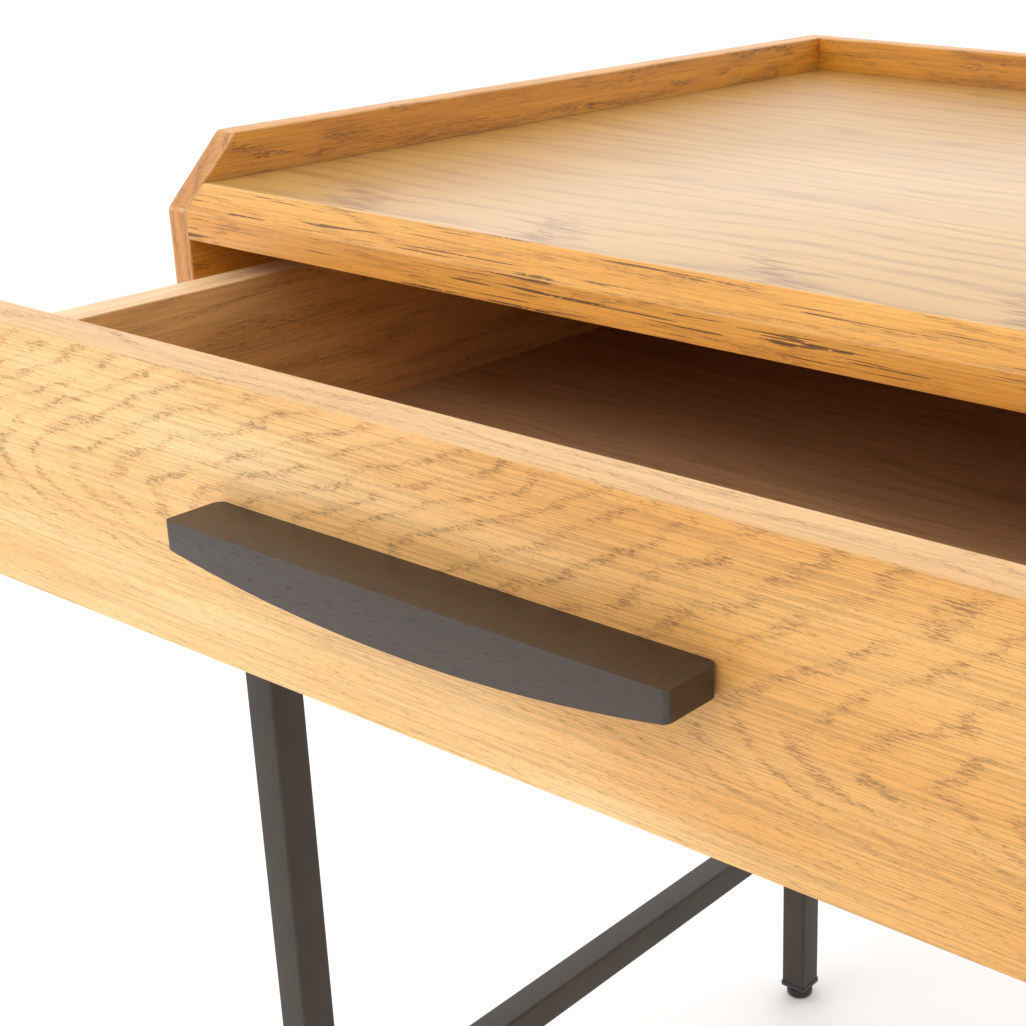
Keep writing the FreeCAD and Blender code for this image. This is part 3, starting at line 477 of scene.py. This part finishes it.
# A paler copy of the box oak for the up-facing top edges of the drawer sides: painted light from above.
M_BOX_TOP_LIT = oak("oak_box_top_lit", "Y", 11.0, light=(240, 208, 166), mid=(231, 192, 142), deep=(198, 150, 98),
              pore=(170, 128, 84), ring_dark=0.2, fine=0.3, coarse=0.2, rough=0.5)
M_BOX = oak("oak_box", "Y", 6.0, light=(230, 182, 118), mid=(216, 164, 98), deep=(174, 122, 66),
            pore=(110, 70, 36), ring_dark=0.25, fine=0.4, coarse=0.3, coarse_len=1.5, rough=0.5)
M_BOXB = oak("oak_box_back", "X", 7.0, light=(220, 170, 106), mid=(206, 152, 88), deep=(166, 114, 60),
             pore=(110, 70, 36), ring_dark=0.25, fine=0.4, coarse=0.3, coarse_len=1.5, rough=0.5)
M_FLOOR = oak("brown_board", "X", 8.0, light=(226, 181, 133), mid=(210, 164, 117), deep=(172, 127, 84),
              pore=(70, 44, 26), ring_dark=0.2, fine=0.25, coarse=0.2, rough=0.5, streak=0.4)
M_DOWEL = oak("beech_dowel", "X", 9.0, light=(222, 178, 132), mid=(210, 162, 114), deep=(186, 134, 88),
              pore=(150, 104, 66), fine=0.3, coarse=0.2, rough=0.6)
M_TUBE = powder("black_powder_coat")
M_PULL = stained("dark_stained_wood")
M_PLASTIC = plastic("black_plastic")
M_CAGE = plastic("cage_plastic", (196, 198, 196), 0.4)
M_ZINC = steel("zinc_steel")
M_SCREW = steel("screw_steel", (168, 170, 168), 0.34, "Z")
M_BALL = steel("ball_steel", (214, 216, 220), 0.14, "X", 1.0)

# ------------------------------------------------------------------ the case
lo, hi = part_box("tabletop")
bev = 8.7 * MM
pts = [(lo.y, lo.z), (hi.y, lo.z), (hi.y, hi.z), (lo.y + bev, hi.z), (lo.y, hi.z - bev)]
bm = prism_bm(pts, "X", lo.x, hi.x)
top_z = hi.z
round_edges(bm, 0.9 * MM, 2, test=lambda e: all(near(v.co.z, top_z) for v in e.verts)
            and (near(abs(mid(e).x), hi.x) or near(mid(e).y, hi.y)))
arr = round_edges(bm, 0.45 * MM, 3, angle=40.0)
for f in bm.faces:
    c = f.calc_center_median()
    f.material_index = 2 if f.normal.z < -0.9 else 1 if c.y < lo.y + bev + 0.0001 or f.normal.z < -0.5 else 0
own(store(bm, "top_board", [M_TOP, M_LIP, M_UNDER], arr), "table", "oak_top", "tabletop")

for name, tag in (("side_panel_left", "left"), ("side_panel_right", "right")):
    lo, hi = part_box(name)
    s = 24.6 * MM
    pts = [(lo.y, lo.z), (hi.y, lo.z), (hi.y, hi.z), (lo.y + s, hi.z), (lo.y, hi.z - s)]
    bm = prism_bm(pts, "X", lo.x, hi.x)
    arr = round_edges(bm, 0.8 * MM, 3)
    for f in bm.faces:
        f.material_index = 1 if f.normal.y < -0.5 else 0
    own(store(bm, "case_side_" + tag, [M_SIDE, M_SIDE_END], arr), "table", "oak_case", name)

lo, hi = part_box("back_panel")
bm = prism_bm([(lo.x, lo.z), (hi.x, lo.z), (hi.x, hi.z), (lo.x, hi.z)], "Y", lo.y, hi.y)
arr = round_edges(bm, 0.7 * MM, 3)
own(store(bm, "case_back", [M_BACK], arr), "table", "oak_case", "back_panel")

lo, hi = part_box("bottom_panel")
bm = prism_bm([(lo.x, lo.y), (hi.x, lo.y), (hi.x, hi.y), (lo.x, hi.y)], "Z", lo.z, hi.z)
arr = round_edges(bm, 0.5 * MM, 3)
own(store(bm, "case_base", [M_BASE], arr), "table", "oak_case", "bottom_panel")

# ------------------------------------------------------------------ the drawer
lo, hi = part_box("drawer_front")
flo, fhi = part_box("drawer_bottom")
bm = prism_bm([(lo.x, lo.z), (hi.x, lo.z), (hi.x, hi.z), (lo.x, hi.z)], "Y", lo.y, hi.y)
arr = round_edges(bm, 1.1 * MM, 4)
arr = list(arr)
# the stopped groove that takes the drawer floor, in the back of the front
g0, g1 = flo.z - 0.05 * MM, fhi.z + 0.05 * MM
for co, no in (((flo.x - 0.00005, 0, 0), (1, 0, 0)), ((fhi.x + 0.00005, 0, 0), (1, 0, 0)),
               ((0, 0, g0), (0, 0, 1)), ((0, 0, g1), (0, 0, 1))):
    bmesh.ops.bisect_plane(bm, geom=bm.verts[:] + bm.edges[:] + bm.faces[:], plane_co=co, plane_no=no, dist=1e-7)
mouth = [f for f in bm.faces if near(f.calc_center_median().y, hi.y) and f.normal.y > 0.9
         and flo.x - 0.0001 < f.calc_center_median().x < fhi.x + 0.0001 and g0 < f.calc_center_median().z < g1]
r = bmesh.ops.extrude_face_region(bm, geom=mouth)
vs = [v for v in r["geom"] if isinstance(v, bmesh.types.BMVert)]
bmesh.ops.delete(bm, geom=[f for f in mouth if f.is_valid], context="FACES")
bmesh.ops.translate(bm, verts=vs, vec=(0, -6.0 * MM, 0))
for f in bm.faces:
    f.material_index = 1 if f.normal.z > 0.8 else 0
own(store(bm, "drawer_face_board", [M_FRONT, M_EDGE], arr), "drawer", "oak_front", "drawer_front")

for name, tag, sgn in (("drawer_side_left", "left", -1), ("drawer_side_right", "right", 1)):
    lo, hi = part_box(name)
    inner, outer = (hi.x, lo.x) if sgn < 0 else (lo.x, hi.x)
    gx = inner + sgn * 6.0 * MM
    pts = [(outer, lo.z), (inner, lo.z), (inner, g0), (gx, g0), (gx, g1), (inner, g1), (inner, hi.z), (outer, hi.z)]
    if sgn > 0:
        pts = pts[::-1]
    bm = prism_bm(pts, "Y", lo.y, hi.y)
    arr = round_edges(bm, 0.6 * MM, 3, test=lambda e: near(mid(e).z, lo.z) or near(mid(e).z, hi.z))
    for f in bm.faces:
        # The up-facing top edge takes the paler oak, painted as lit from above.
        f.material_index = 1 if f.normal.z > 0.8 and f.calc_center_median().z > g1 + 0.01 else 0
    own(store(bm, "drawer_box_side_" + tag, [M_BOX, M_BOX_TOP_LIT], arr), "drawer", "oak_box", name)

lo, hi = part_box("drawer_back")
bm = prism_bm([(lo.x, lo.z), (hi.x, lo.z), (hi.x, hi.z), (lo.x, hi.z)], "Y", lo.y, hi.y)
arr = round_edges(bm, 0.6 * MM, 3)
own(store(bm, "drawer_box_back", [M_BOXB], arr), "drawer", "oak_box", "drawer_back")

lo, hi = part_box("drawer_bottom")
bm = prism_bm([(lo.x, lo.y), (hi.x, lo.y), (hi.x, hi.y), (lo.x, hi.y)], "Z", lo.z, hi.z)
arr = round_edges(bm, 0.35 * MM, 2)
own(store(bm, "drawer_floor", [M_FLOOR], arr), "drawer", "board_brown", "drawer_bottom")

# the boat-shaped pull: flat on top, its underside bowed, every edge eased
lo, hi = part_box("pull_handle")
half_l, end_h, mid_h = (hi.x - lo.x) / 2, 8.3 * MM, hi.z - lo.z
cx = (lo.x + hi.x) / 2
drop = mid_h - end_h
radius = (half_l ** 2 + drop ** 2) / (2 * drop)
N = 56
pts = [(hi.x, hi.z), (lo.x, hi.z)]
for i in range(N + 1):
    xx = -half_l + 2 * half_l * i / N
    pts.append((cx + xx, hi.z - mid_h + (radius - math.sqrt(radius ** 2 - xx ** 2))))
bm = prism_bm(pts, "Y", lo.y, hi.y)
up = round_edges(bm, 3.0 * MM, 7, test=lambda e: near(abs(mid(e).x - cx), half_l)
                 and abs(e.verts[0].co.z - e.verts[1].co.z) > 0.004 and mid(e).y > lo.y + 0.001)
up = round_edges(bm, 1.8 * MM, 6, angle=60.0, test=lambda e: near(abs(mid(e).x - cx), half_l)
                 and abs(e.verts[0].co.z - e.verts[1].co.z) > 0.004 and mid(e).y < lo.y + 0.001)
arr = round_edges(bm, 1.15 * MM, 5, angle=24.0, test=lambda e: not all(near(v.co.y, hi.y) for v in e.verts))
own(store(bm, "boat_pull", [M_PULL], arr, angle=50.0), "drawer", "dark_wood", "pull_handle")


# ------------------------------------------------------------------ the frame of square tube
def ring(cx, cy, half, r, seg=6):
    out = []
    for qx, qy, a0 in ((1, 1, 0), (-1, 1, 90), (-1, -1, 180), (1, -1, 270)):
        for i in range(seg + 1):
            a = math.radians(a0 + 90.0 * i / seg)
            out.append((cx + qx * (half - r) + r * math.cos(a), cy + qy * (half - r) + r * math.sin(a)))
    return out


def tube(name, node, axis, body="table", slot="black_powder", mat=None):
    lo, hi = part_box(node)
    k = "XYZ".index(axis)
    o = [i for i in range(3) if i != k]
    c0, c1 = (lo[o[0]] + hi[o[0]]) / 2, (lo[o[1]] + hi[o[1]]) / 2
    half = (hi[o[0]] - lo[o[0]]) / 2
    r = 1.6 * MM
    outer = ring(c0, c1, half, r)
    inner_r = ring(c0, c1, half - 1.5 * MM, 0.5 * MM)
    bm = bmesh.new()
    ends = [lo[k], hi[k]]
    rows = []
    for pts_, zz in ((inner_r, ends[0]), (outer, ends[0]), (outer, ends[1]), (inner_r, ends[1])):
        rows.append([bm.verts.new(place_pt(axis, p, zz)) for p in pts_])
    n = len(outer)
    arr = []
    for a_, b_ in ((0, 1), (1, 2), (2, 3), (3, 0)):
        for i in range(n):
            f = bm.faces.new((rows[a_][i], rows[a_][(i + 1) % n], rows[b_][(i + 1) % n], rows[b_][i]))
            # The rounded corners are marked for the lighter edges in the finish: rubbed wear and painted highlight.
            if a_ == 1 and i % 7 != 6:
                arr.append(f)
    return own(store(bm, name, [mat or M_TUBE], arr, angle=40.0), body, slot, node)


for fr in ("front", "rear"):
    for s in ("left", "right"):
        tube("leg_tube_%s_%s" % (fr, s), "leg_%s_%s" % (fr, s), "Z")
for s in ("left", "right"):
    tube("stretcher_tube_" + s, "side_stretcher_" + s, "Y")
    tube("rail_tube_" + s, "top_rail_" + s, "Y")
for fr in ("front", "rear"):
    tube("rail_tube_" + fr, "top_rail_" + fr, "X")


# ------------------------------------------------------------------ feet
def stack(name, cx, cy, rows, mat, cap=True):
    """A lofted stack of rounded squares or circles: rows of (z, half, corner radius)."""
    bm = bmesh.new()
    loops = [[bm.verts.new((p[0], p[1], z)) for p in ring(cx, cy, h, r, 8)] for z, h, r in rows]
    n = len(loops[0])
    for k in range(len(loops) - 1):
        for i in range(n):
            bm.faces.new((loops[k][i], loops[k][(i + 1) % n], loops[k + 1][(i + 1) % n], loops[k + 1][i]))
    bm.faces.new(loops[0][::-1])
    bm.faces.new(loops[-1])
    return store(bm, name, [mat], angle=38.0)


for fr in ("front", "rear"):
    for s in ("left", "right"):
        lo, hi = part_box("leg_plug_%s_%s" % (fr, s))
        cx, cy = (lo.x + hi.x) / 2, (lo.y + hi.y) / 2
        hf = (hi.x - lo.x) / 2
        zf = lo.z + 3.2 * MM
        rows = [(lo.z, hf - 1.0 * MM, 1.0 * MM), (lo.z + 0.3 * MM, hf - 0.3 * MM, 1.5 * MM), (lo.z + 0.9 * MM, hf, 1.8 * MM),
                (zf - 0.5 * MM, hf, 1.8 * MM), (zf - 0.1 * MM, hf - 0.2 * MM, 1.6 * MM), (zf, hf - 0.6 * MM, 1.4 * MM),
                (zf, 6.4 * MM, 0.8 * MM), (hi.z - 1.0 * MM, 6.4 * MM, 0.8 * MM), (hi.z, 5.8 * MM, 0.6 * MM)]
        own(stack("tube_plug_%s_%s" % (fr, s), cx, cy, rows, M_PLASTIC), "table", "black_plastic",
            "leg_plug_%s_%s" % (fr, s))
        lo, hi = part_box("foot_glide_%s_%s" % (fr, s))
        rr = (hi.x - lo.x) / 2
        prof = [(0.0, 0.86), (0.25, 0.94), (0.7, 0.985), (1.4, 1.0), (3.9, 1.0), (4.4, 0.985), (4.8, 0.93), (5.0, 0.84),
                (5.05, 0.62), (5.3, 0.56), (6.1, 0.54)]
        zs = (hi.z - lo.z) / (6.1 * MM)
        rows = [(lo.z + a_ * MM * zs, rr * b_, rr * b_ * 0.999) for a_, b_ in prof]
        own(stack("levelling_foot_%s_%s" % (fr, s), cx, cy, rows, M_PLASTIC), "foot_%s_%s" % (fr, s), "black_plastic",
            "foot_glide_%s_%s" % (fr, s))

# ------------------------------------------------------------------ finishes on the pieces that keep their CAD shape
FINISH = {
    "dowels": M_DOWEL, "cage": M_CAGE, "balls": M_BALL, "screws": M_SCREW, "stud": M_SCREW, "runner": M_ZINC,
}
for name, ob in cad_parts.items():
    for key, mat in FINISH.items():
        if key in name:
            ob.data.materials.clear()
            ob.data.materials.append(mat)
            break

# ------------------------------------------------------------------ floor, light, camera
floor = bpy.data.meshes.new("floor")
bm = bmesh.new()
bmesh.ops.create_grid(bm, x_segments=8, y_segments=8, size=9.0)
bm.to_mesh(floor)
bm.free()
floor_ob = bpy.data.objects.new("studio_floor", floor)
bpy.context.scene.collection.objects.link(floor_ob)
floor_ob.location.z = CAD_LO[2] - 0.0002
t = Tree("pale_floor")
x, y, z = t.mm()
cl = t.noise(t.xyz(x, y, z), 2.0, 0.5, 0.0, 0.004)
floor.materials.append(t.finish(t.mix(cl, (0.95, 0.95, 0.95, 1), (0.97, 0.97, 0.97, 1)), 0.85, Specular_IOR_Level=0.1))
floor_ob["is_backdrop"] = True

world = bpy.data.worlds.new("studio")
bpy.context.scene.world = world
world.use_nodes = True
wn = world.node_tree
bg = wn.nodes["Background"]
bg.inputs[0].default_value = (1.0, 1.0, 1.0, 1.0)
wc = wn.nodes.new("ShaderNodeTexCoord")
ws = wn.nodes.new("ShaderNodeSeparateXYZ")
wn.links.new(wc.outputs["Generated"], ws.inputs[0])
def world_range(socket, a, b, c, d):
    n = wn.nodes.new("ShaderNodeMapRange")
    n.interpolation_type = "SMOOTHSTEP"
    for i, v in enumerate((a, b, c, d), 1):
        n.inputs[i].default_value = v
    wn.links.new(socket, n.inputs[0])
    return n.outputs[0]


wm = wn.nodes.new("ShaderNodeMath")
wm.operation = "MULTIPLY"
wn.links.new(world_range(ws.outputs[0], -0.2, 0.85, 1.14, 0.52), wm.inputs[0])
wn.links.new(world_range(ws.outputs[1], -0.1, 0.75, 1.0, 1.55), wm.inputs[1])
wn.links.new(wm.outputs[0], bg.inputs[1])


def softbox(name, loc, aim, sx, sy, radiance, tint=(1.0, 1.0, 1.0)):
    d = bpy.data.lights.new(name, "AREA")
    d.shape = "RECTANGLE"
    d.size, d.size_y = sx, sy
    d.energy = radiance * math.pi * sx * sy
    d.color = tint
    o = bpy.data.objects.new(name, d)
    bpy.context.scene.collection.objects.link(o)
    o.location = loc
    o.rotation_euler = (Vector(aim) - Vector(loc)).to_track_quat("-Z", "Y").to_euler()
    return o


softbox("softbox_left", (-1.9, -2.6, 1.9), (0.0, 0.0, 0.5), 2.2, 2.2, 0.7, (1.0, 0.99, 0.97))
softbox("softbox_front", (0.1, -2.1, 2.3), (0.0, -0.15, 0.5), 1.3, 0.8, 3.45, (1.0, 0.99, 0.97))

cam = bpy.data.cameras.new("camera")
cam_ob = bpy.data.objects.new("camera", cam)
bpy.context.scene.collection.objects.link(cam_ob)
cam.sensor_fit = "HORIZONTAL"
cam.sensor_width = 36.0
cam.lens = 64.8712859
cam.shift_x, cam.shift_y = -0.25, 0.0
cam.clip_start, cam.clip_end = 0.01, 60.0
right = Vector((0.8089708296829838, 0.5878291591440091, 0.0048037883042346685))
down = Vector((0.2135306957244364, -0.2862278074025519, -0.9340654603682581))
fwd = Vector((-0.5476959363601878, 0.7566574667110442, -0.35706951615191457))
cam_ob.matrix_world = Matrix((
    (right.x, -down.x, -fwd.x, 0.3198828),
    (right.y, -down.y, -fwd.y, -0.5451449),
    (right.z, -down.z, -fwd.z, 0.6836534),
    (0, 0, 0, 1)))
bpy.context.scene.camera = cam_ob
bpy.context.scene.view_settings.view_transform = "Standard"
bpy.context.scene.view_settings.look = "None"
